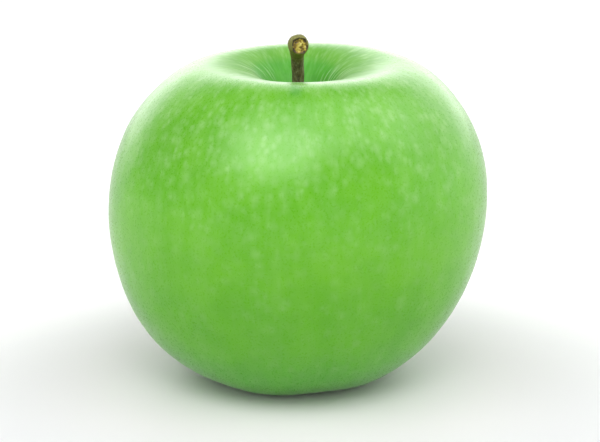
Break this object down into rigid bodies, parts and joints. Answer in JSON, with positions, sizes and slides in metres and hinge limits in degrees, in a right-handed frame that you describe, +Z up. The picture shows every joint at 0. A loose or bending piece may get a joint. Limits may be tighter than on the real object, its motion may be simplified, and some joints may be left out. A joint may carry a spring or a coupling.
{
  "type": "apple",
  "caption": "Whole green apple, broader than tall, with a short woody stem in a deep round hollow on top and a dried calyx in a basin underneath.",
  "frame": {"origin": "on the surface that the apple stands on, under the middle of its bounding box", "axes": "+Z up along the fruit's core, -Y the front, which the stem leans to and its torn end faces, +X to the right seen from the front"},
  "size_m": [0.0801, 0.0778, 0.0747],
  "materials": {
    "apple_skin": "waxy semi-gloss skin, bright green with small pale dots",
    "stem_bark": "rough brown-green bark, with a yellow-brown torn end",
    "dried_sepal": "dry, brown and slightly hairy",
    "dried_stamens": "dry, dark brown"
  },
  "bodies": {
    "root": {"fruit": "apple_skin", "stem": "stem_bark", "sepal_1": "dried_sepal", "sepal_2": "dried_sepal", "sepal_3": "dried_sepal", "sepal_4": "dried_sepal", "sepal_5": "dried_sepal", "stamens": "dried_stamens"}
  },
  "joints": []
}
